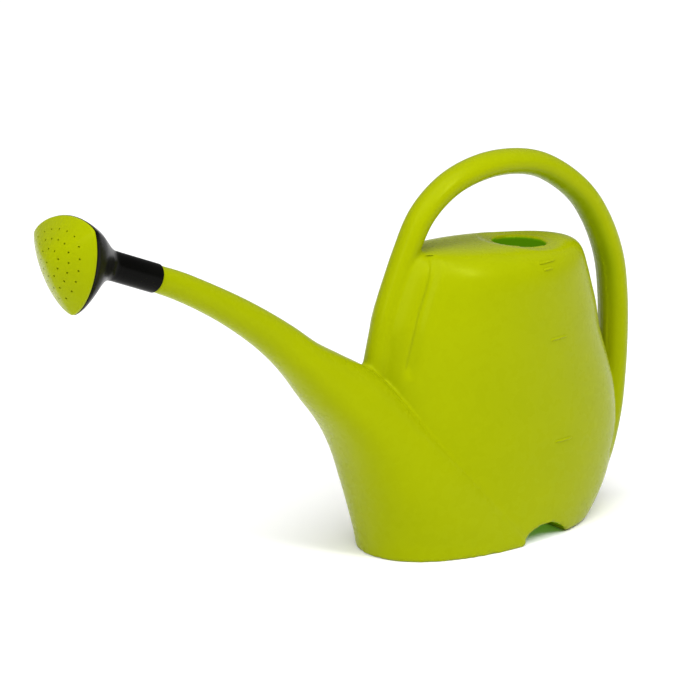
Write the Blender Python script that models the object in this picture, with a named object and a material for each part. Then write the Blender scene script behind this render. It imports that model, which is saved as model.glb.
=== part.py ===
"""Two and a half litre watering can: a blow-moulded can and a two-piece rose.

World frame: +Z up, the floor at Z = 0, the spout towards -X and the handle in the
plane Y = 0, which is also the mould's parting plane. All sizes below are in millimetres.
"""

from math import cos, pi, radians, sin

import bmesh
import bpy
import numpy as np
from mathutils import Matrix, Vector

MM = 0.001

# Can moulding
WALL = 1.7
FOOT_RADIUS = 2.6
TANK_SIDES = 36
HORN_SIDES = 32
RING_SIDES = 14

# Tank: height, front x, back x, half width, power of the plan outline
TANK = (
    (0.0, -76.7, 85.4, 46.6, 2.25),
    (18.0, -78.5, 99.0, 47.2, 2.20),
    (41.0, -80.4, 108.5, 47.6, 2.15),
    (64.0, -81.3, 112.3, 47.9, 2.10),
    (86.0, -81.3, 110.3, 47.4, 2.05),
    (113.0, -80.4, 102.6, 46.3, 2.00),
    (129.0, -78.5, 97.2, 45.6, 2.00),
    (144.0, -76.3, 94.5, 44.7, 2.00),
    (161.0, -69.9, 89.3, 43.6, 2.00),
    (177.0, -63.1, 84.8, 42.9, 2.00),
    (196.0, -55.8, 84.0, 41.8, 2.00),
)
CROWN_START = 150.7
CROWN_TOP = 189.9
CROWN_TILT = 0.058
CROWN_POWER_X = 8.0
CROWN_POWER_Y = 4.2

# Handle and rear spine: centre x, centre z, half thickness, half width
RING = (
    (-80.0, 112.0, 8.4, 8.9),
    (-78.5, 124.4, 8.4, 8.9),
    (-75.6, 137.1, 8.1, 8.9),
    (-71.2, 154.0, 8.0, 8.9),
    (-64.3, 172.0, 7.9, 8.9),
    (-56.2, 190.2, 7.9, 9.0),
    (-43.3, 212.8, 8.0, 9.2),
    (-23.4, 228.5, 8.1, 9.5),
    (2.9, 236.9, 8.2, 10.0),
    (28.2, 237.8, 8.2, 10.3),
    (50.7, 233.3, 8.3, 10.5),
    (71.3, 222.6, 8.4, 10.9),
    (90.7, 206.3, 8.4, 11.2),
    (104.6, 185.7, 8.6, 11.3),
    (113.6, 163.6, 8.7, 11.4),
    (117.7, 137.1, 8.8, 11.4),
    (118.4, 110.8, 8.9, 11.4),
    (117.0, 84.7, 9.1, 11.6),
    (113.4, 60.6, 9.5, 12.3),
    (106.0, 37.4, 9.8, 13.4),
    (94.0, 14.0, 9.6, 14.0),
    (85.0, -3.0, 9.0, 14.0),
)

# Horn, from the spout's shoulder to the foot: middle x and z, front x and z, back x and z,
# half width, power ahead of the middle, power behind it
HORN = (
    (-244.7, 204.7, -247.8, 197.1, -241.6, 212.3, 8.2, 2.00, 2.0),
    (-228.0, 197.4, -231.8, 189.6, -224.2, 205.2, 8.6, 2.00, 2.0),
    (-212.3, 189.2, -216.6, 181.4, -207.9, 197.1, 9.3, 2.00, 2.0),
    (-183.1, 172.0, -188.8, 163.5, -177.3, 180.5, 11.4, 2.00, 2.0),
    (-153.4, 150.5, -161.5, 141.1, -145.2, 159.8, 15.0, 2.00, 2.0),
    (-138.2, 136.2, -147.6, 126.7, -127.7, 146.8, 19.1, 2.00, 2.0),
    (-121.8, 120.7, -132.6, 108.0, -108.8, 135.8, 23.2, 2.10, 2.1),
    (-105.0, 103.8, -117.8, 90.5, -87.8, 123.2, 28.3, 2.15, 2.3),
    (-80.3, 80.4, -104.7, 69.5, -62.4, 95.2, 35.6, 2.20, 2.6),
    (-51.4, 51.9, -94.4, 43.8, -32.4, 59.4, 43.4, 2.25, 3.4),
    (-23.8, 25.7, -88.3, 21.4, -10.6, 28.0, 47.2, 2.25, 4.5),
    (0.0, 0.0, -84.4, 0.0, 11.6, 0.0, 48.4, 2.25, 6.0),
    (2.7, -7.3, -83.4, -7.3, 16.0, -7.3, 48.4, 2.25, 6.0),
)

# Spigot that the rose's sleeve slips on; its axis is the rose's axis
SPOUT_END = Vector((-244.7, 0.0, 204.7))
SPOUT_RISE = radians(22.2)
SPIGOT_RADIUS = 6.7
SPIGOT_LENGTH = 25.0

# Tunnel across the underside: x and z of the arch
NOTCH = ((3.2, -2.0), (4.8, 2.4), (8.8, 6.4), (15.2, 9.4), (22.9, 10.7), (30.1, 9.9), (37.2, 6.5),
         (43.0, 2.0), (45.8, -2.0))

# Fill hole in the crown
FILL_X = 36.2
FILL_RADIUS = 17.2

# Rose: lengths run along the sleeve's axis from the spout's shoulder
SLEEVE_RADIUS = 8.9
SLEEVE_BORE = 7.0
SLEEVE_START = 0.4
SLEEVE_END = 30.0
SHELL_WALL = 1.5
THROAT_RADIUS = 5.6
RIM_CENTRE = (64.0, -3.6)
RIM_TILT = radians(20.5)
RIM_RADIUS = 29.2
RIM_LOBE = 0.118
ROSE_TURN = radians(11.4)
ROSE_SIDES = 36

# Rose face
FACE_DEPTH = 14.4
FACE_POWER = 1.4
FACE_WALL = 1.7
FACE_EDGE = 1.5
FACE_GAP = 0.3
SKIRT_INSET = 3.6
SKIRT_DEPTH = 2.6
HOLE_RADIUS = 0.65
HOLE_SIDES = 6
# Rings of spray holes: count, mean radius, lobe
HOLE_RINGS = ((18, 20.6, 0.11), (15, 14.6, 0.11), (9, 8.2, 0.08))

LIME = (0.55, 0.61, 0.01, 1.0)
BLACK = (0.012, 0.012, 0.014, 1.0)


def clear_scene():
    for old in list(bpy.data.objects):
        bpy.data.objects.remove(old, do_unlink=True)


def plastic(name, colour, roughness):
    material = bpy.data.materials.new(name)
    material.use_nodes = True
    shader = material.node_tree.nodes["Principled BSDF"]
    shader.inputs["Base Color"].default_value = colour
    shader.inputs["Roughness"].default_value = roughness
    shader.inputs["Metallic"].default_value = 0.0
    return material


def smooth_rows(rows, keys, wanted):
    """Rows of a station table read at the wanted keys, on a smooth curve through them."""
    rows = np.asarray(rows, float)
    keys = np.asarray(keys, float)
    wanted = np.asarray(wanted, float)
    steps = np.diff(keys)[:, None]
    slopes = np.diff(rows, axis=0) / steps
    tangents = np.vstack((slopes[:1], slopes, slopes[-1:]))
    tangents = (tangents[:-1] + tangents[1:]) / 2.0
    tangents[1:-1] = (slopes[:-1] * steps[1:] + slopes[1:] * steps[:-1]) / (steps[1:] + steps[:-1])
    index = np.clip(np.searchsorted(keys, wanted, side="right") - 1, 0, len(keys) - 2)
    span = steps[index]
    t = ((wanted - keys[index])[:, None]) / span
    return ((2 * t**3 - 3 * t**2 + 1) * rows[index] + (t**3 - 2 * t**2 + t) * span * tangents[index]
            + (3 * t**2 - 2 * t**3) * rows[index + 1] + (t**3 - t**2) * span * tangents[index + 1])


def along(rows, count):
    """A station table resampled evenly along the path of its first two columns."""
    rows = np.asarray(rows, float)
    length = np.concatenate(([0.0], np.cumsum(np.hypot(*np.diff(rows[:, :2], axis=0).T))))
    return smooth_rows(rows, length, np.linspace(0.0, length[-1], count))


def oval(ahead, behind, half_width, power_ahead, power_behind, sides):
    """Points (along, y) of a closed section whose two ends may differ in length and power."""
    points = []
    for k in range(sides):
        angle = 2.0 * pi * k / sides
        c, s = cos(angle), sin(angle)
        reach = ahead if c > 0 else behind
        power = power_ahead if c > 0 else power_behind
        x = reach * abs(c) ** (2.0 / power) * (1.0 if c > 0 else -1.0)
        y = half_width * abs(s) ** (2.0 / power) * (1.0 if s > 0 else -1.0)
        points.append((x, y))
    return points


def loft(name, rings):
    """A closed solid through rings of equal length, with a flat cap at each end."""
    mesh = bmesh.new()
    loops = [[mesh.verts.new(Vector(p) * MM) for p in ring] for ring in rings]
    for low, high in zip(loops, loops[1:]):
        for k in range(len(low)):
            n = (k + 1) % len(low)
            mesh.faces.new((low[k], low[n], high[n], high[k]))
    mesh.faces.new(loops[0])
    mesh.faces.new(loops[-1])
    bmesh.ops.recalc_face_normals(mesh, faces=mesh.faces)
    data = bpy.data.meshes.new(name)
    mesh.to_mesh(data)
    mesh.free()
    solid = bpy.data.objects.new(name, data)
    bpy.context.collection.objects.link(solid)
    return solid


def combine(target, operation, *tools):
    """Apply Booleans to the target, and remove the tools."""
    for tool in tools:
        cut = target.modifiers.new("cut", "BOOLEAN")
        cut.operation = operation
        cut.solver = "EXACT"
        cut.object = tool
        bpy.context.view_layer.update()
        result = bpy.data.meshes.new_from_object(target.evaluated_get(bpy.context.evaluated_depsgraph_get()))
        target.modifiers.clear()
        target.data = result
        bpy.data.objects.remove(tool, do_unlink=True)
    return target


def tank_ring(height, inset):
    """Plan outline of the tank at one height, drawn in by the inset and by the crown."""
    table = np.asarray(TANK, float)
    _, front, back, width, power = smooth_rows(table, table[:, 0], [height])[0]
    top = CROWN_TOP - inset
    rise = min(max((height - CROWN_START) / (top - CROWN_START), 0.0), 1.0)
    short = (1.0 - rise**CROWN_POWER_X) ** (1.0 / CROWN_POWER_X)
    thin = (1.0 - rise**CROWN_POWER_Y) ** (1.0 / CROWN_POWER_Y)
    low = max(1.0 - height / FOOT_RADIUS, 0.0) if inset == 0.0 else 0.0
    draw = inset + FOOT_RADIUS * (1.0 - (1.0 - low**2) ** 0.5)
    middle = (front + back) / 2.0
    half = (back - front) / 2.0 - draw
    ring = []
    for x, y in oval(half, half, width - draw, power, power, TANK_SIDES):
        x = middle + x * short
        ring.append((x, y * thin, height * (1.0 - CROWN_TILT * x / CROWN_TOP)))
    return ring


def tank(name, inset):
    top = CROWN_TOP - inset
    low = [0.0, 0.8, FOOT_RADIUS] if inset == 0.0 else [inset]
    crown = [CROWN_START + (top - CROWN_START) * sin(angle * pi / 2.0)
             for angle in (0.0, 0.2, 0.36, 0.5, 0.62, 0.73, 0.83, 0.91, 0.985)]
    heights = low + [12.0, 27.0, 45.0, 64.0, 83.0, 102.0, 120.0, 136.0] + crown
    return loft(name, [tank_ring(height, inset) for height in heights])


def horn(name, inset):
    """The spout and the skirt it grows from, as one tapering horn."""
    rings = []
    for row in along(HORN, 20):
        middle, front, back = Vector((row[0], row[1])), Vector((row[2], row[3])), Vector((row[4], row[5]))
        forward = (front - back).normalized()
        ahead = (front - middle).length - inset
        behind = (back - middle).length - inset
        rings.append([(middle.x + forward.x * u, y, middle.y + forward.y * u)
                      for u, y in oval(ahead, behind, row[6] - inset, row[7], row[8], HORN_SIDES)])
    return loft(name, rings)


def handle(name, inset):
    """The hoop handle that runs on down the back as the rear spine."""
    path = along(RING, 36)
    tangents = np.gradient(path[:, :2], axis=0)
    rings = []
    for (x, z, thick, width), tangent in zip(path, tangents):
        tx, tz = tangent / np.hypot(*tangent)
        rings.append([(x - tz * u, y, z + tx * u)
                      for u, y in oval(thick - inset, thick - inset, width - inset, 2.0, 2.0, RING_SIDES)])
    return loft(name, rings)


def spout_tube(name, radius, start, end):
    """A round bar on the spout's axis, between two distances from the shoulder."""
    axis = Vector((-cos(SPOUT_RISE), 0.0, sin(SPOUT_RISE)))
    across = Vector((sin(SPOUT_RISE), 0.0, cos(SPOUT_RISE)))
    rings = []
    for distance in (start, end):
        centre = SPOUT_END + axis * distance
        rings.append([centre + across * (radius * cos(a)) + Vector((0.0, radius * sin(a), 0.0))
                      for a in (2.0 * pi * k / HORN_SIDES for k in range(HORN_SIDES))])
    return loft(name, rings)


def notch(name, grow):
    """A bar through the underside in the arch's outline, grown for the inside of the wall."""
    arch = along(NOTCH, 17)
    slope = np.gradient(arch, axis=0)
    normal = np.stack((-slope[:, 1], slope[:, 0]), axis=1) / np.hypot(*slope.T)[:, None]
    arch = arch + normal * grow
    outline = [(x, z) for x, z in arch] + [(arch[-1][0], -20.0), (arch[0][0], -20.0)]
    return loft(name, [[(x, side * 70.0, z) for x, z in outline] for side in (-1.0, 1.0)])


def block(name, low, high):
    """A plain cutter between two corners."""
    rings = [[(low[0], low[1], z), (high[0], low[1], z), (high[0], high[1], z), (low[0], high[1], z)]
             for z in (low[2], high[2])]
    return loft(name, rings)


def can_body(material):
    body = tank("can_body", 0.0)
    combine(body, "UNION", horn("horn", 0.0), handle("handle", 0.0),
            spout_tube("spigot", SPIGOT_RADIUS, -4.0, SPIGOT_LENGTH))
    combine(body, "DIFFERENCE", notch("notch", 0.0), block("floor", (-200, -80, -30), (200, 80, 0)))
    hollow = tank("hollow", WALL)
    combine(hollow, "UNION", horn("horn_hollow", WALL), handle("handle_hollow", WALL),
            spout_tube("mouth", SPIGOT_RADIUS - WALL, -6.0, SPIGOT_LENGTH + 5.0))
    combine(hollow, "DIFFERENCE", notch("notch_wall", WALL), block("under", (-200, -80, -30), (200, 80, WALL)))
    combine(body, "DIFFERENCE", hollow, fill_cutter())
    return finish(body, material)


def fill_cutter():
    sides = 40
    rings = [[(FILL_X + FILL_RADIUS * cos(2.0 * pi * k / sides), FILL_RADIUS * sin(2.0 * pi * k / sides), z)
              for k in range(sides)] for z in (CROWN_START + 15.0, CROWN_TOP + 15.0)]
    return loft("fill", rings)


def pick(angle, radius, lobe):
    """A point (side, up) of a rounded triangle with its flat side up and its corner down."""
    turn = 3.0 * (angle + pi / 2.0)
    reach = radius * (1.0 + lobe * cos(turn))
    swing = -3.0 * radius * lobe * sin(turn)
    return reach * cos(angle) - swing * sin(angle), reach * sin(angle) + swing * cos(angle)


def pick_ring(radius, lobe, count=ROSE_SIDES):
    return [pick(2.0 * pi * k / count, radius, lobe) for k in range(count)]


def rose_ring(distance, drop, tilt, radius, lobe):
    """A section of the rose in the pivot's frame, on a plane leaning down by the tilt."""
    return [(distance + up * sin(tilt), side, drop + up * cos(tilt)) for side, up in pick_ring(radius, lobe)]


# Flare of the shell: share of the way to the rim, mean radius
FLARE = ((0.0, 8.9), (0.15, 9.4), (0.28, 11.6), (0.42, 15.2), (0.56, 19.2), (0.68, 22.6), (0.80, 25.5),
         (0.92, 28.0), (1.0, 29.2))


def flare_rings(inset):
    table = np.asarray(FLARE, float)
    rings = []
    for share in np.linspace(0.0, 1.0, 11):
        radius = smooth_rows(table[:, 1:], table[:, 0], [share])[0][0]
        bend = share * share * (3.0 - 2.0 * share)
        distance = SLEEVE_END + (RIM_CENTRE[0] - SLEEVE_END) * share
        drop = RIM_CENTRE[1] * share**1.6
        rings.append(rose_ring(distance, drop, RIM_TILT * bend, radius - inset, RIM_LOBE * bend))
    return rings


def rose_shell(material, pivot):
    collar = [rose_ring(d, 0.0, 0.0, SLEEVE_RADIUS - draw, 0.0)
              for d, draw in ((SLEEVE_START, 0.7), (SLEEVE_START + 0.7, 0.0), (12.0, 0.0), (22.0, 0.0))]
    shell = loft("rose_shell", collar + flare_rings(0.0))
    inner = flare_rings(SHELL_WALL)
    lip = [tuple(Vector(p) + face_normal() * 3.0) for p in inner[-1]]
    throat = [rose_ring(SPIGOT_LENGTH - 1.0, 0.0, 0.0, THROAT_RADIUS, 0.0)]
    funnel = loft("funnel", throat + inner[2:] + [lip])
    bore = loft("bore", [rose_ring(d, 0.0, 0.0, SLEEVE_BORE, 0.0)
                         for d in (SLEEVE_START - 5.0, SPIGOT_LENGTH + 0.6)])
    combine(shell, "DIFFERENCE", bore, funnel)
    return finish(shell, material, pivot)


def face_normal():
    return Vector((cos(RIM_TILT), 0.0, -sin(RIM_TILT)))


def on_face(side, up, out):
    """A point in the pivot's frame, from its place on the face plane and its height off it."""
    centre = Vector((RIM_CENTRE[0], 0.0, RIM_CENTRE[1]))
    return centre + Vector((up * sin(RIM_TILT), side, up * cos(RIM_TILT))) + face_normal() * out


def face_loop(share, inset, out):
    return [on_face(side, up, out) for side, up in pick_ring((RIM_RADIUS - inset) * share, RIM_LOBE)]


def dome(share):
    return FACE_DEPTH * (1.0 - share**FACE_POWER)


def rose_face(material, pivot):
    shares = (0.03, 0.2, 0.38, 0.54, 0.68, 0.8, 0.9, 0.97)
    base = FACE_GAP
    inner = SKIRT_INSET + FACE_WALL
    rings = [face_loop(s, 0.0, base + FACE_EDGE + dome(s)) for s in shares]
    rings += [face_loop(1.0, 0.0, base + FACE_EDGE), face_loop(1.0, 0.0, base)]
    rings += [face_loop(1.0, SKIRT_INSET, base), face_loop(1.0, SKIRT_INSET, base - SKIRT_DEPTH)]
    rings += [face_loop(1.0, inner, base - SKIRT_DEPTH)]
    rings += [face_loop(s, inner, base + FACE_EDGE - FACE_WALL + dome(s)) for s in reversed(shares)]
    face = loft("rose_face", rings)
    combine(face, "DIFFERENCE", spray_cutter())
    return finish(face, material, pivot)


def spray_points(count, radius, lobe):
    """Points spaced evenly round a rounded triangle, half a step past its left corner."""
    outline = np.asarray(pick_ring(radius, lobe, 360) + [pick(0.0, radius, lobe)])
    length = np.concatenate(([0.0], np.cumsum(np.hypot(*np.diff(outline, axis=0).T))))
    wanted = (length[150] - (np.arange(count) + 0.5) * length[-1] / count) % length[-1]
    return list(zip(np.interp(wanted, length, outline[:, 0]), np.interp(wanted, length, outline[:, 1])))


def spray_cutter():
    """All the spray holes as one cutter of separate bars."""
    mesh = bmesh.new()
    places = [(0.0, 0.0)] + [p for ring in HOLE_RINGS for p in spray_points(*ring)]
    for side, up in places:
        loops = []
        for out in (0.5, FACE_DEPTH + 6.0):
            loops.append([mesh.verts.new(on_face(side + HOLE_RADIUS * cos(a), up + HOLE_RADIUS * sin(a), out) * MM)
                          for a in (2.0 * pi * k / HOLE_SIDES for k in range(HOLE_SIDES))])
        for k in range(HOLE_SIDES):
            n = (k + 1) % HOLE_SIDES
            mesh.faces.new((loops[0][k], loops[0][n], loops[1][n], loops[1][k]))
        mesh.faces.new(loops[0])
        mesh.faces.new(loops[1])
    bmesh.ops.recalc_face_normals(mesh, faces=mesh.faces)
    data = bpy.data.meshes.new("spray")
    mesh.to_mesh(data)
    mesh.free()
    cutter = bpy.data.objects.new("spray", data)
    bpy.context.collection.objects.link(cutter)
    return cutter


def rose_pivot():
    """An empty on the spout's axis: +X out along it, +Z up from it."""
    pivot = bpy.data.objects.new("rose_pivot", None)
    bpy.context.collection.objects.link(pivot)
    place = Matrix.Translation(SPOUT_END * MM)
    aim = Matrix(((-cos(SPOUT_RISE), 0.0, sin(SPOUT_RISE)), (0.0, -1.0, 0.0),
                  (sin(SPOUT_RISE), 0.0, cos(SPOUT_RISE)))).to_4x4()
    pivot.matrix_world = place @ aim @ Matrix.Rotation(ROSE_TURN, 4, "X")
    return pivot


def finish(solid, material, pivot=None):
    solid.data.materials.clear()
    solid.data.materials.append(material)
    solid.data.shade_smooth()
    solid.data.set_sharp_from_angle(angle=radians(35.0))
    solid.parent = pivot
    return solid


def main():
    clear_scene()
    lime = plastic("lime_plastic", LIME, 0.38)
    black = plastic("black_plastic", BLACK, 0.22)
    can_body(lime)
    pivot = rose_pivot()
    rose_shell(black, pivot)
    rose_face(lime, pivot)


main()
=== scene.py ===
"""The look of the watering can: fine surfaces, materials, light and camera.

World frame: +Z up, the floor at Z = 0, the spout towards -X and the handle in the
plane Y = 0, which is also the mould's parting plane. All sizes below are in millimetres.
"""

from math import cos, hypot, pi, radians, sin

import bmesh
import bpy
import numpy as np
from mathutils import Matrix, Vector


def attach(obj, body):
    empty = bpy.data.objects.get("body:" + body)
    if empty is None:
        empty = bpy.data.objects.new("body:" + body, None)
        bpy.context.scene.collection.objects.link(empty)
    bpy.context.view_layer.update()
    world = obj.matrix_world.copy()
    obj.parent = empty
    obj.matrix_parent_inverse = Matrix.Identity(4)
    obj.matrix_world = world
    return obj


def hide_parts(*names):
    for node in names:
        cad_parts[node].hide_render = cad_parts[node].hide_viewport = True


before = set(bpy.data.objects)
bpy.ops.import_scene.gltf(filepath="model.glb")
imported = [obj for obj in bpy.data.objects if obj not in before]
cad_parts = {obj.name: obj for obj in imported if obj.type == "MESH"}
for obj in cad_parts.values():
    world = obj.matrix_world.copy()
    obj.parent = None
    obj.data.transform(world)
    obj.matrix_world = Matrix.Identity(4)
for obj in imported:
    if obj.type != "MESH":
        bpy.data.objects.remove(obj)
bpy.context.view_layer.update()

MM = 0.001

# Can moulding
FOOT_RADIUS = 3.0
LIP = 2.8
VOXEL = 1.4
TANK_SIDES = 120
HORN_SIDES = 96
RING_SIDES = 40

# Tank: height, front x, back x, half width, power of the plan outline
TANK = (
    (0.0, -76.7, 85.4, 46.6, 2.25),
    (18.0, -78.5, 99.0, 47.2, 2.20),
    (41.0, -80.4, 108.5, 47.6, 2.15),
    (64.0, -81.3, 112.3, 47.9, 2.10),
    (86.0, -81.3, 110.3, 47.4, 2.05),
    (113.0, -80.4, 102.6, 46.3, 2.00),
    (129.0, -78.5, 97.2, 45.6, 2.00),
    (144.0, -76.3, 94.5, 44.7, 2.00),
    (161.0, -69.9, 89.3, 43.6, 2.00),
    (177.0, -63.1, 84.8, 42.9, 2.00),
    (196.0, -55.8, 84.0, 41.8, 2.00),
)
CROWN_START = 150.7
CROWN_TOP = 189.9
CROWN_TILT = 0.058
CROWN_POWER_X = 8.0
CROWN_POWER_Y = 4.2

# Handle and rear spine: centre x, centre z, half thickness, half width
RING = (
    (-80.0, 112.0, 8.4, 8.9),
    (-78.5, 124.4, 8.4, 8.9),
    (-75.6, 137.1, 8.1, 8.9),
    (-71.2, 154.0, 8.0, 8.9),
    (-64.3, 172.0, 7.9, 8.9),
    (-56.2, 190.2, 7.9, 9.0),
    (-43.3, 212.8, 8.0, 9.2),
    (-23.4, 228.5, 8.1, 9.5),
    (2.9, 236.9, 8.2, 10.0),
    (28.2, 237.8, 8.2, 10.3),
    (50.7, 233.3, 8.3, 10.5),
    (71.3, 222.6, 8.4, 10.9),
    (90.7, 206.3, 8.4, 11.2),
    (104.6, 185.7, 8.6, 11.3),
    (113.6, 163.6, 8.7, 11.4),
    (117.7, 137.1, 8.8, 11.4),
    (118.4, 110.8, 8.9, 11.4),
    (117.0, 84.7, 9.1, 11.6),
    (113.4, 60.6, 9.5, 12.3),
    (106.0, 37.4, 9.8, 13.4),
    (94.0, 14.0, 9.6, 14.0),
    (85.0, -3.0, 9.0, 14.0),
)

# Horn, from the spout's shoulder to the foot: middle x and z, front x and z, back x and z,
# half width, power ahead of the middle, power behind it
HORN = (
    (-244.7, 204.7, -247.8, 197.1, -241.6, 212.3, 8.2, 2.00, 2.0),
    (-228.0, 197.4, -231.8, 189.6, -224.2, 205.2, 8.6, 2.00, 2.0),
    (-212.3, 189.2, -216.6, 181.4, -207.9, 197.1, 9.3, 2.00, 2.0),
    (-183.1, 172.0, -188.8, 163.5, -177.3, 180.5, 11.4, 2.00, 2.0),
    (-153.4, 150.5, -161.5, 141.1, -145.2, 159.8, 15.0, 2.00, 2.0),
    (-138.2, 136.2, -147.6, 126.7, -127.7, 146.8, 19.1, 2.00, 2.0),
    (-121.8, 120.7, -132.6, 108.0, -108.8, 135.8, 23.2, 2.10, 2.1),
    (-105.0, 103.8, -117.8, 90.5, -87.8, 123.2, 28.3, 2.15, 2.3),
    (-80.3, 80.4, -104.7, 69.5, -62.4, 95.2, 35.6, 2.20, 2.6),
    (-51.4, 51.9, -94.4, 43.8, -32.4, 59.4, 43.4, 2.25, 3.4),
    (-23.8, 25.7, -88.3, 21.4, -10.6, 28.0, 47.2, 2.25, 4.5),
    (0.0, 0.0, -84.4, 0.0, 11.6, 0.0, 48.4, 2.25, 6.0),
    (2.7, -7.3, -83.4, -7.3, 16.0, -7.3, 48.4, 2.25, 6.0),
)

# Spigot that the rose's sleeve slips on; its axis is the rose's axis
SPOUT_END = Vector((-244.7, 0.0, 204.7))
SPOUT_RISE = radians(22.2)
SPIGOT_RADIUS = 6.7
SPIGOT_LENGTH = 25.0

# Tunnel across the underside: x and z of the arch
NOTCH = ((3.2, -2.0), (4.8, 2.4), (8.8, 6.4), (15.2, 9.4), (22.9, 10.7), (30.1, 9.9), (37.2, 6.5),
         (43.0, 2.0), (45.8, -2.0))

# Fill hole in the crown
FILL_X = 36.2
FILL_RADIUS = 17.4
FILL_SINK = 2.8
# How far past the hole the crown is lowered, and how much less on the far side
SINK_REACH = 13.0
SINK_SKEW = 3.0

# Valley between the handle and the tank's side
VALLEY_DEPTH = 2.8
VALLEY_OFFSET = 1.6
VALLEY_WIDTH = 2.2
# Lowest height of the valley, at the front leg and at the rear spine
VALLEY_FRONT = 116.0
VALLEY_REAR = 34.0

# Middle of the hoop, x and z, and the fillet where the handle's root meets the horn
HOOP_MIDDLE = (25.0, 165.0)
ROOT = Vector((-89.0, 0.0, 127.0))
ROOT_REACH = 16.0

# Rose: lengths run along the sleeve's axis from the spout's shoulder
SLEEVE_RADIUS = 8.9
SLEEVE_BORE = 7.0
SLEEVE_START = 0.4
SLEEVE_END = 30.0
SHELL_WALL = 1.5
THROAT_RADIUS = 5.6
RIM_CENTRE = (64.0, -3.6)
RIM_TILT = radians(20.5)
RIM_RADIUS = 29.2
RIM_LOBE = 0.118
ROSE_TURN = radians(11.4)
ROSE_SIDES = 144
# Flare of the shell: share of the way to the rim, mean radius
FLARE = ((0.0, 8.9), (0.15, 9.4), (0.28, 11.6), (0.42, 15.2), (0.56, 19.2), (0.68, 22.6), (0.80, 25.5),
         (0.92, 28.0), (1.0, 29.2))

# Rose face
FACE_DEPTH = 14.4
FACE_POWER = 1.4
FACE_WALL = 1.7
FACE_EDGE = 1.5
FACE_GAP = 0.3
SKIRT_INSET = 3.6
SKIRT_DEPTH = 2.6
HOLE_RADIUS = 0.62
HOLE_SIDES = 12
# Rings of spray holes: count, mean radius, lobe
HOLE_RINGS = ((18, 20.6, 0.11), (15, 14.6, 0.11), (9, 8.2, 0.08))

# Level marks on the can's side: bead radius, then first x, last x, height of each
MARK_RADIUS = 0.8
MARKS = ((20.5, 36.0, 180.0), (22.5, 31.0, 176.0), (25.5, 41.0, 131.0), (28.0, 43.0, 64.5))

# Camera
CAMERA_AT = (-1.3923, -1.6547, 0.7186)
CAMERA_TO = (-0.0995, 0.0, 0.1362)
CAMERA_LENS = 182.0


# ---------------------------------------------------------------- shapes

def smooth_rows(rows, keys, wanted):
    """Rows of a station table read at the wanted keys, on a smooth curve through them."""
    rows = np.asarray(rows, float)
    keys = np.asarray(keys, float)
    wanted = np.asarray(wanted, float)
    steps = np.diff(keys)[:, None]
    slopes = np.diff(rows, axis=0) / steps
    tangents = np.vstack((slopes[:1], slopes, slopes[-1:]))
    tangents = (tangents[:-1] + tangents[1:]) / 2.0
    tangents[1:-1] = (slopes[:-1] * steps[1:] + slopes[1:] * steps[:-1]) / (steps[1:] + steps[:-1])
    index = np.clip(np.searchsorted(keys, wanted, side="right") - 1, 0, len(keys) - 2)
    span = steps[index]
    t = ((wanted - keys[index])[:, None]) / span
    return ((2 * t**3 - 3 * t**2 + 1) * rows[index] + (t**3 - 2 * t**2 + t) * span * tangents[index]
            + (3 * t**2 - 2 * t**3) * rows[index + 1] + (t**3 - t**2) * span * tangents[index + 1])


def along(rows, count):
    """A station table resampled evenly along the path of its first two columns."""
    rows = np.asarray(rows, float)
    length = np.concatenate(([0.0], np.cumsum(np.hypot(*np.diff(rows[:, :2], axis=0).T))))
    return smooth_rows(rows, length, np.linspace(0.0, length[-1], count))


def oval(ahead, behind, half_width, power_ahead, power_behind, sides):
    """Points (along, y) of a closed section whose two ends may differ in length and power."""
    points = []
    for k in range(sides):
        angle = 2.0 * pi * k / sides
        c, s = cos(angle), sin(angle)
        reach = ahead if c > 0 else behind
        power = power_ahead if c > 0 else power_behind
        x = reach * abs(c) ** (2.0 / power) * (1.0 if c > 0 else -1.0)
        y = half_width * abs(s) ** (2.0 / power) * (1.0 if s > 0 else -1.0)
        points.append((x, y))
    return points


def link(name, mesh):
    """A bmesh as a linked object with its faces pointing out."""
    bmesh.ops.recalc_face_normals(mesh, faces=mesh.faces)
    data = bpy.data.meshes.new(name)
    mesh.to_mesh(data)
    mesh.free()
    solid = bpy.data.objects.new(name, data)
    bpy.context.collection.objects.link(solid)
    return solid


def loft(name, rings, closed=False):
    """A solid through rings of equal length: capped at both ends, or joined end to end."""
    mesh = bmesh.new()
    loops = [[mesh.verts.new(Vector(p) * MM) for p in ring] for ring in rings]
    pairs = list(zip(loops, loops[1:]))
    if closed:
        pairs.append((loops[-1], loops[0]))
    for low, high in pairs:
        for k in range(len(low)):
            n = (k + 1) % len(low)
            mesh.faces.new((low[k], low[n], high[n], high[k]))
    if not closed:
        mesh.faces.new(loops[0])
        mesh.faces.new(loops[-1])
    return link(name, mesh)


def bake_modifiers(target):
    bpy.context.view_layer.update()
    result = bpy.data.meshes.new_from_object(target.evaluated_get(bpy.context.evaluated_depsgraph_get()))
    target.modifiers.clear()
    target.data = result


def combine(target, operation, *tools, keep=False):
    """Apply Booleans to the target, and remove the tools unless they are kept."""
    for tool in tools:
        cut = target.modifiers.new("cut", "BOOLEAN")
        cut.operation = operation
        cut.solver = "EXACT"
        cut.object = tool
        bake_modifiers(target)
        if not keep:
            bpy.data.objects.remove(tool, do_unlink=True)
    return target


# ---------------------------------------------------------------- the can

def crown_draw(rise):
    """Shares of the tank's length and width left at a rise of 0 to 1 up the crown."""
    short = (1.0 - rise**CROWN_POWER_X) ** (1.0 / CROWN_POWER_X)
    thin = (1.0 - rise**CROWN_POWER_Y) ** (1.0 / CROWN_POWER_Y)
    return short, thin


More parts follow.
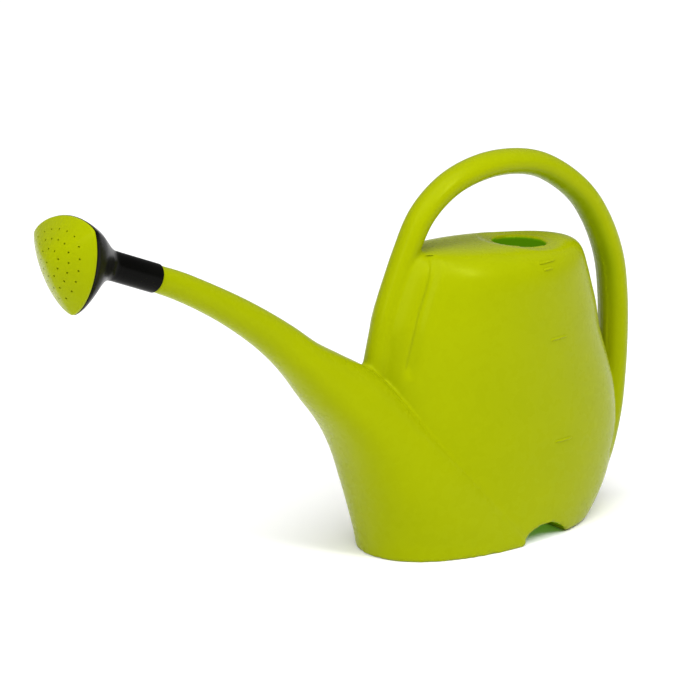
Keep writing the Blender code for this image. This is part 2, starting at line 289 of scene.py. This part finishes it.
def tank_ring(height, inset):
    """Plan outline of the tank at one height, drawn in by the inset and by the crown."""
    table = np.asarray(TANK, float)
    _, front, back, width, power = smooth_rows(table, table[:, 0], [height])[0]
    top = CROWN_TOP - inset
    rise = min(max((height - CROWN_START) / (top - CROWN_START), 0.0), 1.0)
    short, thin = crown_draw(rise)
    low = max(1.0 - height / FOOT_RADIUS, 0.0) if inset == 0.0 else 0.0
    draw = inset + FOOT_RADIUS * (1.0 - (1.0 - low**2) ** 0.5)
    middle = (front + back) / 2.0
    half = (back - front) / 2.0 - draw
    ring = []
    for x, y in oval(half, half, width - draw, power, power, TANK_SIDES):
        x = middle + x * short
        ring.append((x, y * thin, height * (1.0 - CROWN_TILT * x / CROWN_TOP)))
    return ring


def tank(name, inset):
    top = CROWN_TOP - inset
    low = [0.0, 0.3, 0.8, 1.6, FOOT_RADIUS] if inset == 0.0 else [inset]
    crown = [CROWN_START + (top - CROWN_START) * sin(turn * pi / 2.0)
             for turn in np.linspace(0.0, 1.0, 30)[:-1]]
    crown.append(CROWN_START + (top - CROWN_START) * 0.9996)
    heights = low + list(np.linspace(7.0, 145.0, 36)) + crown
    return loft(name, [tank_ring(height, inset) for height in heights])


def horn(name):
    """The spout and the skirt it grows from, as one tapering horn."""
    rings = []
    for row in along(HORN, 110):
        middle, front, back = Vector((row[0], row[1])), Vector((row[2], row[3])), Vector((row[4], row[5]))
        forward = (front - back).normalized()
        ahead = (front - middle).length
        behind = (back - middle).length
        rings.append([(middle.x + forward.x * u, y, middle.y + forward.y * u)
                      for u, y in oval(ahead, behind, row[6], row[7], row[8], HORN_SIDES)])
    return loft(name, rings)


def handle(name):
    """The hoop handle that runs on down the back as the rear spine."""
    path = along(RING, 200)
    tangents = np.gradient(path[:, :2], axis=0)
    rings = []
    for (x, z, thick, width), tangent in zip(path, tangents):
        tx, tz = tangent / np.hypot(*tangent)
        rings.append([(x - tz * u, y, z + tx * u)
                      for u, y in oval(thick, thick, width, 2.0, 2.0, RING_SIDES)])
    return loft(name, rings)


def spout_tube(name, radius, start, end):
    """A round bar on the spout's axis, between two distances from the shoulder."""
    axis = Vector((-cos(SPOUT_RISE), 0.0, sin(SPOUT_RISE)))
    across = Vector((sin(SPOUT_RISE), 0.0, cos(SPOUT_RISE)))
    rings = []
    for distance in (start, end):
        centre = SPOUT_END + axis * distance
        rings.append([centre + across * (radius * cos(a)) + Vector((0.0, radius * sin(a), 0.0))
                      for a in (2.0 * pi * k / 48 for k in range(48))])
    return loft(name, rings)


def notch(name):
    """A bar through the underside in the arch's outline."""
    outline = [(x, z) for x, z in along(NOTCH, 41)]
    outline += [(NOTCH[-1][0], -20.0), (NOTCH[0][0], -20.0)]
    return loft(name, [[(x, side * 70.0, z) for x, z in outline] for side in (-1.0, 1.0)])


def block(name, low, high):
    """A plain cutter between two corners."""
    rings = [[(low[0], low[1], z), (high[0], low[1], z), (high[0], high[1], z), (low[0], high[1], z)]
             for z in (low[2], high[2])]
    return loft(name, rings)


def fill_cutter():
    rings = [[(FILL_X + FILL_RADIUS * cos(a), FILL_RADIUS * sin(a), z)
              for a in (2.0 * pi * k / 64 for k in range(64))] for z in (CROWN_START, CROWN_TOP + 15.0)]
    return loft("fill", rings)


def fill_lip():
    """The raised soft ring round the fill hole, laid on the crown's slope."""
    rings = []
    for k in range(72):
        a = 2.0 * pi * k / 72
        x = FILL_X + (FILL_RADIUS + 1.2) * cos(a)
        y = (FILL_RADIUS + 1.2) * sin(a)
        z = crown_height(x, y) - 1.0
        rings.append([(x + 2.2 * cos(b) * cos(a), y + 2.2 * cos(b) * sin(a), z + 1.6 * sin(b))
                      for b in (2.0 * pi * j / 16 for j in range(16))])
    return loft("lip", rings, closed=True)


def crown_height(x, y):
    """Height of the crown's surface over a point near its middle."""
    table = np.asarray(TANK, float)
    low, high = CROWN_START, CROWN_TOP
    for _ in range(30):
        height = (low + high) / 2.0
        _, front, back, width, power = smooth_rows(table, table[:, 0], [height])[0]
        rise = (height - CROWN_START) / (CROWN_TOP - CROWN_START)
        short, thin = crown_draw(rise)
        u = (x - (front + back) / 2.0) / ((back - front) / 2.0 * short)
        inside = abs(u) ** power + abs(y / (width * thin)) ** power < 1.0
        low, high = (height, high) if inside else (low, height)
    return height * (1.0 - CROWN_TILT * x / CROWN_TOP)


def smooth_surface(solid, repeats, weight=None):
    """Ease a surface's small steps; with a weight, only where it is above nought."""
    ease = solid.modifiers.new("ease", "SMOOTH")
    ease.factor = 0.5
    ease.iterations = repeats
    if weight is not None:
        group = solid.vertex_groups.new(name="ease")
        for vertex in solid.data.vertices:
            amount = weight(vertex.co / MM)
            if amount > 0.01:
                group.add([vertex.index], amount, "REPLACE")
        ease.vertex_group = "ease"
    bake_modifiers(solid)
    solid.vertex_groups.clear()


def mark_painted_shade_and_glow(solid):
    """Store where shade and glow are painted: painted shade and a painted glow inside the tank, and a weaker
    painted shade on the hoop's inner side.
    """
    count = len(solid.data.vertices)
    places = np.empty(count * 3)
    normals = np.empty(count * 3)
    solid.data.vertices.foreach_get("co", places)
    solid.data.vertices.foreach_get("normal", normals)
    x, y, z = places.reshape(-1, 3).T / MM
    nx, ny, nz = normals.reshape(-1, 3).T
    table = np.asarray(TANK, float)
    height = z / (1.0 - CROWN_TILT * x / CROWN_TOP)
    _, front, back, width, power = smooth_rows(table, table[:, 0], np.clip(height, 0.0, CROWN_TOP - 0.5)).T
    rise = np.clip((height - CROWN_START) / (CROWN_TOP - CROWN_START), 0.0, 0.999)
    short, thin = crown_draw(rise)
    length = (back - front) / 2.0 * short - LIP / 2.0
    width = width * thin - LIP / 2.0
    middle = (front + back) / 2.0
    reach = np.abs((x - middle) / length) ** power + np.abs(y / width) ** power
    facing = nx * (x - middle) + ny * y + nz * (z - 95.0)
    # Mask of the tank's inside faces, which get painted shade and a painted glow
    inside = (reach < 1.0) & (height > 2.0) & (height < CROWN_TOP - 1.2) & (facing < 0.0)
    inside = inside.astype(float)
    # Mask of the hoop's inner side, which gets a weaker painted shade
    cx, cz = x - HOOP_MIDDLE[0], z - HOOP_MIDDLE[1]
    inward = -(nx * cx + nz * cz) / np.maximum(np.hypot(cx, cz), 1.0)
    hoop = np.clip((inward - 0.25) / 0.6, 0.0, 1.0) * (np.hypot(cx, cz) > 60.0) * (np.abs(y) < 13.0)
    hoop *= np.clip((x + 10.0) / 60.0, 0.0, 1.0) * np.clip((z - 115.0) / 50.0, 0.0, 1.0) * (1.0 - inside)
    # The inside attribute drives the painted glow, the depth attribute the painted shade
    for name, values in (("inside", inside), ("depth", np.maximum(inside, 0.3 * hoop))):
        solid.data.attributes.new(name, "FLOAT", "POINT").data.foreach_set("value", values.astype(np.float32))


def sink_fill(solid):
    """Lower the crown softly round the fill hole."""
    for vertex in solid.data.vertices:
        x, y, z = vertex.co / MM
        away = hypot(x - FILL_X, y)
        if not CROWN_START < z < CROWN_TOP + 6.0 or away > 45.0:
            continue
        outer = FILL_RADIUS + SINK_REACH - SINK_SKEW * y / max(away, 1.0)
        share = min(max((outer - away) / (outer - FILL_RADIUS), 0.0), 1.0)
        vertex.co.z -= FILL_SINK * MM * share * share * (3.0 - 2.0 * share)


def press_valleys(solid):
    """Press a shallow valley into the tank's side, along the handle's leg and the rear spine."""
    places = np.empty(len(solid.data.vertices) * 3)
    solid.data.vertices.foreach_get("co", places)
    places = places.reshape(-1, 3) / MM
    line = np.asarray(along(RING, 160), float)
    depth = np.zeros(len(places))
    for start in range(0, len(places), 20000):
        x, y, z = places[start:start + 20000].T
        gaps = np.hypot(x[:, None] - line[:, 0], z[:, None] - line[:, 1])
        nearest = gaps.argmin(axis=1)
        centre, thick = line[nearest, 0], line[nearest, 2]
        inward = (x - centre) * (HOOP_MIDDLE[0] - centre) > 0.0
        fade = np.clip((z - np.where(x < 0.0, VALLEY_FRONT, VALLEY_REAR)) / 8.0, 0.0, 1.0)
        fade = fade * (z < CROWN_TOP) * (np.abs(y) > 4.0)
        bell = np.exp(-(((gaps.min(axis=1) - thick - VALLEY_OFFSET) / VALLEY_WIDTH) ** 2))
        depth[start:start + 20000] = VALLEY_DEPTH * bell * inward * fade * np.sign(y)
    places[:, 1] -= depth
    solid.data.vertices.foreach_set("co", (places * MM).ravel())


def root_weight(point):
    """Where the handle's root meets the horn, and gets a wide fillet."""
    return max(0.0, 1.0 - (point - ROOT).length / ROOT_REACH)


def can_look(material):
    parts = [tank("can_moulding", 0.0), horn("horn"), handle("handle"), fill_lip(),
             spout_tube("spigot", SPIGOT_RADIUS, -6.0, SPIGOT_LENGTH - 1.0)]
    tools = [notch("notch"), block("floor", (-200, -80, -30), (200, 80, 0)), tank("hollow", LIP),
             fill_cutter()]
    for part in parts[:3]:
        combine(part, "DIFFERENCE", *tools, keep=True)
    for part in parts[3:]:
        combine(part, "DIFFERENCE", tools[3], keep=True)
    for tool in tools:
        bpy.data.objects.remove(tool, do_unlink=True)
    body = join(parts)
    skin = body.modifiers.new("skin", "REMESH")
    skin.mode = "VOXEL"
    skin.voxel_size = VOXEL * MM
    skin.adaptivity = 0.0
    bake_modifiers(body)
    smooth_surface(body, 3)
    smooth_surface(body, 30, root_weight)
    mark_painted_shade_and_glow(body)
    sink_fill(body)
    press_valleys(body)
    return finish(body, material, "can", "can_body")


def join(parts):
    """Several objects' meshes in the first object."""
    mesh = bmesh.new()
    for part in parts:
        mesh.from_mesh(part.data)
    for part in parts[1:]:
        bpy.data.objects.remove(part, do_unlink=True)
    mesh.to_mesh(parts[0].data)
    mesh.free()
    return parts[0]


def side_point(x, z):
    """A point on the tank's near side."""
    table = np.asarray(TANK, float)
    height = z / (1.0 - CROWN_TILT * x / CROWN_TOP)
    _, front, back, width, power = smooth_rows(table, table[:, 0], [height])[0]
    rise = max((height - CROWN_START) / (CROWN_TOP - CROWN_START), 0.0)
    short, thin = crown_draw(rise)
    u = abs(x - (front + back) / 2.0) / ((back - front) / 2.0 * short)
    return Vector((x, -width * thin * (1.0 - u**power) ** (1.0 / power), z))


def level_mark(number, first, last, height, material):
    """A thin raised line that follows the can's side."""
    rings = []
    for share in np.linspace(0.0, 1.0, 25):
        x = first + (last - first) * share
        centre = side_point(x, height)
        over = side_point(x, height + 1.0) - side_point(x, height - 1.0)
        over.normalize()
        out = Vector((0.0, -1.0, 0.0))
        size = MARK_RADIUS * max(1.0 - (2.0 * share - 1.0) ** 8, 0.02) ** 0.5
        rings.append([centre + over * (size * cos(a)) + out * (0.9 * size * sin(a))
                      for a in (2.0 * pi * k / 16 for k in range(16))])
    mark = loft("level_mark_%d" % number, rings)
    return finish(mark, material, "can")


# ---------------------------------------------------------------- the rose

def pick(angle, radius, lobe):
    """A point (side, up) of a rounded triangle with its flat side up and its corner down."""
    turn = 3.0 * (angle + pi / 2.0)
    reach = radius * (1.0 + lobe * cos(turn))
    swing = -3.0 * radius * lobe * sin(turn)
    return reach * cos(angle) - swing * sin(angle), reach * sin(angle) + swing * cos(angle)


def pick_ring(radius, lobe, count=ROSE_SIDES):
    return [pick(2.0 * pi * k / count, radius, lobe) for k in range(count)]


def rose_ring(distance, drop, tilt, radius, lobe):
    """A section of the rose in the pivot's frame, on a plane leaning down by the tilt."""
    return [(distance + up * sin(tilt), side, drop + up * cos(tilt)) for side, up in pick_ring(radius, lobe)]


def flare_ring(share, inset):
    table = np.asarray(FLARE, float)
    radius = smooth_rows(table[:, 1:], table[:, 0], [share])[0][0]
    bend = share * share * (3.0 - 2.0 * share)
    distance = SLEEVE_END + (RIM_CENTRE[0] - SLEEVE_END) * share
    drop = RIM_CENTRE[1] * share**1.6
    return rose_ring(distance, drop, RIM_TILT * bend, radius - inset, RIM_LOBE * bend)


def rose_shell_look(material):
    """The sleeve, the flare and its rolled rim as one turned-over skin."""
    rings = []
    for turn in np.linspace(0.0, 1.0, 7):
        edge = 1.1
        rings.append(rose_ring(SLEEVE_START + edge * (1.0 - sin(turn * pi / 2.0)), 0.0, 0.0,
                               SLEEVE_RADIUS - edge * (1.0 - cos((1.0 - turn) * pi / 2.0)), 0.0))
    for distance in np.linspace(3.0, SLEEVE_END - 1.0, 12):
        rings.append(rose_ring(distance, 0.0, 0.0, SLEEVE_RADIUS, 0.0))
    for share in np.linspace(0.0, 0.985, 56):
        rings.append(flare_ring(share, 0.0))
    rings.append(flare_ring(0.996, 0.06))
    rings.append(flare_ring(1.0, 0.35))
    rings.append(flare_ring(1.0, SHELL_WALL - 0.3))
    for share in np.linspace(0.99, 0.22, 40):
        rings.append(flare_ring(share, SHELL_WALL))
    rings.append(rose_ring(SPIGOT_LENGTH + 0.6, 0.0, 0.0, THROAT_RADIUS, 0.0))
    rings.append(rose_ring(SPIGOT_LENGTH + 0.5, 0.0, 0.0, SLEEVE_BORE, 0.0))
    rings.append(rose_ring(SLEEVE_START + 0.2, 0.0, 0.0, SLEEVE_BORE, 0.0))
    return place_rose(loft("rose_funnel", rings, closed=True), material, "rose", "rose_shell")


def face_normal():
    return Vector((cos(RIM_TILT), 0.0, -sin(RIM_TILT)))


def on_face(side, up, out):
    """A point in the pivot's frame, from its place on the face plane and its height off it."""
    centre = Vector((RIM_CENTRE[0], 0.0, RIM_CENTRE[1]))
    return centre + Vector((up * sin(RIM_TILT), side, up * cos(RIM_TILT))) + face_normal() * out


def face_loop(share, inset, out):
    return [on_face(side, up, out) for side, up in pick_ring((RIM_RADIUS - inset) * share, RIM_LOBE)]


def dome(share):
    soft = (share**2 + 0.012) ** 0.5
    return FACE_DEPTH * (1.0 - soft**FACE_POWER)


def rose_face_look(material):
    shares = list(np.linspace(0.02, 0.975, 44))
    base = FACE_GAP
    inner = SKIRT_INSET + FACE_WALL
    rings = [face_loop(s, 0.25, base + FACE_EDGE + dome(s)) for s in shares]
    edge = 1.3
    level = base + FACE_EDGE + dome(0.975)
    for turn in np.linspace(0.15, 1.0, 6):
        inset = 0.25 + 0.7 * (1.0 - sin(turn * pi / 2.0)) * 0.6
        rings.append(face_loop(1.0, inset, level - 0.2 - edge * (1.0 - cos(turn * pi / 2.0))))
    rings.append(face_loop(1.0, 0.25, base + 0.1))
    rings += [face_loop(1.0, SKIRT_INSET, base), face_loop(1.0, SKIRT_INSET, base - SKIRT_DEPTH)]
    rings += [face_loop(1.0, inner, base - SKIRT_DEPTH)]
    rings += [face_loop(s, inner, base + FACE_EDGE - FACE_WALL + dome(s)) for s in reversed(shares[::4])]
    face = loft("rose_plate", rings)
    combine(face, "DIFFERENCE", spray_cutter())
    return place_rose(face, material, "face", "rose_face")


def spray_points(count, radius, lobe):
    """Points spaced evenly round a rounded triangle, half a step past its left corner."""
    outline = np.asarray(pick_ring(radius, lobe, 360) + [pick(0.0, radius, lobe)])
    length = np.concatenate(([0.0], np.cumsum(np.hypot(*np.diff(outline, axis=0).T))))
    wanted = (length[150] - (np.arange(count) + 0.5) * length[-1] / count) % length[-1]
    return list(zip(np.interp(wanted, length, outline[:, 0]), np.interp(wanted, length, outline[:, 1])))


def spray_cutter():
    """All the spray holes as one cutter of separate bars."""
    mesh = bmesh.new()
    places = [(0.0, 0.0)] + [p for ring in HOLE_RINGS for p in spray_points(*ring)]
    for side, up in places:
        loops = []
        for out in (0.5, FACE_DEPTH + 6.0):
            turns = [2.0 * pi * k / HOLE_SIDES for k in range(HOLE_SIDES)]
            rim = [on_face(side + HOLE_RADIUS * cos(a), up + HOLE_RADIUS * sin(a), out) for a in turns]
            loops.append([mesh.verts.new(point * MM) for point in rim])
        for k in range(HOLE_SIDES):
            n = (k + 1) % HOLE_SIDES
            mesh.faces.new((loops[0][k], loops[0][n], loops[1][n], loops[1][k]))
        mesh.faces.new(loops[0])
        mesh.faces.new(loops[1])
    return link("spray", mesh)


def place_rose(piece, material, body, node):
    """Put a piece from the pivot's frame into the world and turn it on the spout."""
    aim = Matrix(((-cos(SPOUT_RISE), 0.0, sin(SPOUT_RISE)), (0.0, -1.0, 0.0),
                  (sin(SPOUT_RISE), 0.0, cos(SPOUT_RISE)))).to_4x4()
    piece.data.transform(Matrix.Translation(SPOUT_END * MM) @ aim @ Matrix.Rotation(ROSE_TURN, 4, "X"))
    return finish(piece, material, body, node)


def finish(piece, material, body, node=None):
    piece.data.materials.clear()
    piece.data.materials.append(material)
    piece.data.shade_smooth()
    piece.data.set_sharp_from_angle(angle=radians(50.0))
    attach(piece, body)
    if node:
        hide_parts(node)
    return piece


# ---------------------------------------------------------------- materials

class Nodes:
    """Short calls for building a material's node tree."""

    def __init__(self, name):
        self.material = bpy.data.materials.new(name)
        self.material.use_nodes = True
        self.tree = self.material.node_tree
        self.shader = self.tree.nodes["Principled BSDF"]

    def add(self, kind, **values):
        node = self.tree.nodes.new(kind)
        for key, value in values.items():
            if hasattr(node, key):
                setattr(node, key, value)
            else:
                node.inputs[key.replace("_", " ")].default_value = value
        return node

    def wire(self, source, target):
        self.tree.links.new(source, target)

    def noise(self, scale, detail=2.0):
        place = self.add("ShaderNodeTexCoord")
        node = self.add("ShaderNodeTexNoise", Scale=scale, Detail=detail)
        self.wire(place.outputs["Object"], node.inputs["Vector"])
        return node.outputs["Fac"]

    def spread(self, source, low, high):
        node = self.add("ShaderNodeMapRange")
        node.inputs["From Min"].default_value = 0.3
        node.inputs["From Max"].default_value = 0.7
        node.inputs["To Min"].default_value = low
        node.inputs["To Max"].default_value = high
        self.wire(source, node.inputs["Value"])
        return node.outputs["Result"]

    def math(self, operation, first, second):
        node = self.add("ShaderNodeMath", operation=operation)
        for socket, value in zip(node.inputs, (first, second)):
            if isinstance(value, (int, float)):
                socket.default_value = value
            else:
                self.wire(value, socket)
        return node.outputs[0]

    def blend_colours(self, share, first, second):
        node = self.tree.nodes.new("ShaderNodeMix")
        node.data_type = "RGBA"
        self.wire(share, node.inputs["Factor"])
        sockets = [socket for socket in node.inputs if socket.type == "RGBA"]
        for socket, value in zip(sockets, (first, second)):
            if isinstance(value, tuple):
                socket.default_value = value
            else:
                self.wire(value, socket)
        return [socket for socket in node.outputs if socket.type == "RGBA"][0]

    def bump(self, height, strength, distance, below=None):
        node = self.add("ShaderNodeBump", Strength=strength, Distance=distance)
        self.wire(height, node.inputs["Height"])
        if below is not None:
            self.wire(below, node.inputs["Normal"])
        return node.outputs["Normal"]


def lime_plastic(parting_line):
    """Self-coloured lime moulding: satin, slightly uneven, with the mould's fine skin; painted shade darkens
    the tank's inside and the hoop's inner side, and the tank's inside has a painted glow.
    """
    made = Nodes("lime_skin")
    share = made.spread(made.noise(14.0, 3.0), 0.0, 1.0)
    colour = made.blend_colours(share, (0.260, 0.304, 0.0005, 1.0), (0.276, 0.320, 0.0006, 1.0))
    # Painted shade: the depth attribute darkens the colour to deep green inside the tank and on the hoop's
    # inner side
    shade = made.add("ShaderNodeAttribute", attribute_name="depth").outputs["Fac"]
    colour = made.blend_colours(shade, colour, (0.07, 0.19, 0.001, 1.0))
    made.wire(colour, made.shader.inputs["Base Color"])
    # Painted glow: the tank's inside emits its own shaded colour, standing in for light coming through the
    # plastic
    made.wire(colour, made.shader.inputs["Emission Color"])
    inside = made.add("ShaderNodeAttribute", attribute_name="inside").outputs["Fac"]
    made.wire(made.math("MULTIPLY", inside, 0.8), made.shader.inputs["Emission Strength"])
    made.wire(made.spread(made.noise(120.0, 4.0), 0.25, 0.30), made.shader.inputs["Roughness"])
    made.shader.inputs["Specular IOR Level"].default_value = 0.10
    made.shader.inputs["Specular Tint"].default_value = (0.85, 0.95, 0.10, 1.0)
    made.shader.inputs["Subsurface Weight"].default_value = 0.12
    made.shader.inputs["Subsurface Radius"].default_value = (0.004, 0.0045, 0.0006)
    made.shader.inputs["Subsurface Scale"].default_value = 1.0
    normal = made.bump(made.noise(1400.0, 2.0), 0.05, 0.0002)
    normal = made.bump(made.noise(55.0, 1.0), 0.06, 0.002, normal)
    if parting_line:
        place = made.add("ShaderNodeTexCoord")
        split = made.add("ShaderNodeSeparateXYZ")
        made.wire(place.outputs["Object"], split.inputs["Vector"])
        away = made.math("ABSOLUTE", split.outputs["Y"], 0.0)
        ridge = made.math("SUBTRACT", 1.0, made.math("DIVIDE", away, 0.00055))
        ridge = made.math("MAXIMUM", ridge, 0.0)
        normal = made.bump(ridge, 0.35, 0.00025, normal)
    made.wire(normal, made.shader.inputs["Normal"])
    return made.material


def black_plastic():
    """Glossy black moulding with a little waviness."""
    made = Nodes("black_skin")
    share = made.spread(made.noise(30.0, 3.0), 0.0, 1.0)
    colour = made.blend_colours(share, (0.0012, 0.0012, 0.001, 1.0), (0.0025, 0.0025, 0.002, 1.0))
    made.wire(colour, made.shader.inputs["Base Color"])
    made.wire(made.spread(made.noise(200.0, 4.0), 0.20, 0.27), made.shader.inputs["Roughness"])
    made.shader.inputs["Specular IOR Level"].default_value = 0.04
    made.wire(made.bump(made.noise(70.0, 1.0), 0.05, 0.001), made.shader.inputs["Normal"])
    return made.material


# ---------------------------------------------------------------- stage

def floor():
    mesh = bmesh.new()
    bmesh.ops.create_grid(mesh, x_segments=1, y_segments=1, size=30.0)
    ground = link("floor", mesh)
    ground.location.z = -0.0002
    made = Nodes("floor")
    made.shader.inputs["Base Color"].default_value = (0.95, 0.95, 0.95, 1.0)
    made.shader.inputs["Roughness"].default_value = 0.9
    made.shader.inputs["Specular IOR Level"].default_value = 0.1
    ground.data.materials.append(made.material)


def soft_light(name, place, aim, size, power):
    data = bpy.data.lights.new(name, "AREA")
    data.shape = "RECTANGLE"
    data.size, data.size_y = size
    data.energy = power
    lamp = bpy.data.objects.new(name, data)
    bpy.context.collection.objects.link(lamp)
    lamp.location = place
    lamp.rotation_euler = (Vector(aim) - Vector(place)).to_track_quat("-Z", "Y").to_euler()


def lighting():
    world = bpy.data.worlds.new("studio")
    bpy.context.scene.world = world
    world.use_nodes = True
    world.node_tree.nodes["Background"].inputs["Color"].default_value = (1.0, 1.0, 1.0, 1.0)
    world.node_tree.nodes["Background"].inputs["Strength"].default_value = 0.27
    data = bpy.data.lights.new("overhead", "SUN")
    data.energy = 2.85
    data.angle = radians(60.0)
    sun = bpy.data.objects.new("overhead", data)
    bpy.context.collection.objects.link(sun)
    sun.rotation_euler = Vector((0.40, 0.35, -1.2)).to_track_quat("-Z", "Y").to_euler()
    aim = (-0.05, 0.0, 0.13)
    soft_light("left", (-1.5, -0.3, 0.9), aim, (0.2, 1.0), 8.0)
    soft_light("front", (0.1, -1.15, 1.3), aim, (0.18, 0.7), 13.0)
    bpy.context.scene.view_settings.view_transform = "Standard"


def camera():
    data = bpy.data.cameras.new("camera")
    data.lens = CAMERA_LENS
    data.sensor_width = 36.0
    data.clip_end = 100.0
    eye = bpy.data.objects.new("camera", data)
    bpy.context.collection.objects.link(eye)
    eye.location = CAMERA_AT
    eye.rotation_euler = (Vector(CAMERA_TO) - Vector(CAMERA_AT)).to_track_quat("-Z", "Y").to_euler()
    bpy.context.scene.camera = eye


def main():
    lime = lime_plastic(parting_line=True)
    black = black_plastic()
    can_look(lime)
    for number, (first, last, height) in enumerate(MARKS, start=1):
        level_mark(number, first, last, height, lime)
    rose_shell_look(black)
    rose_face_look(lime)
    floor()
    lighting()
    camera()


main()
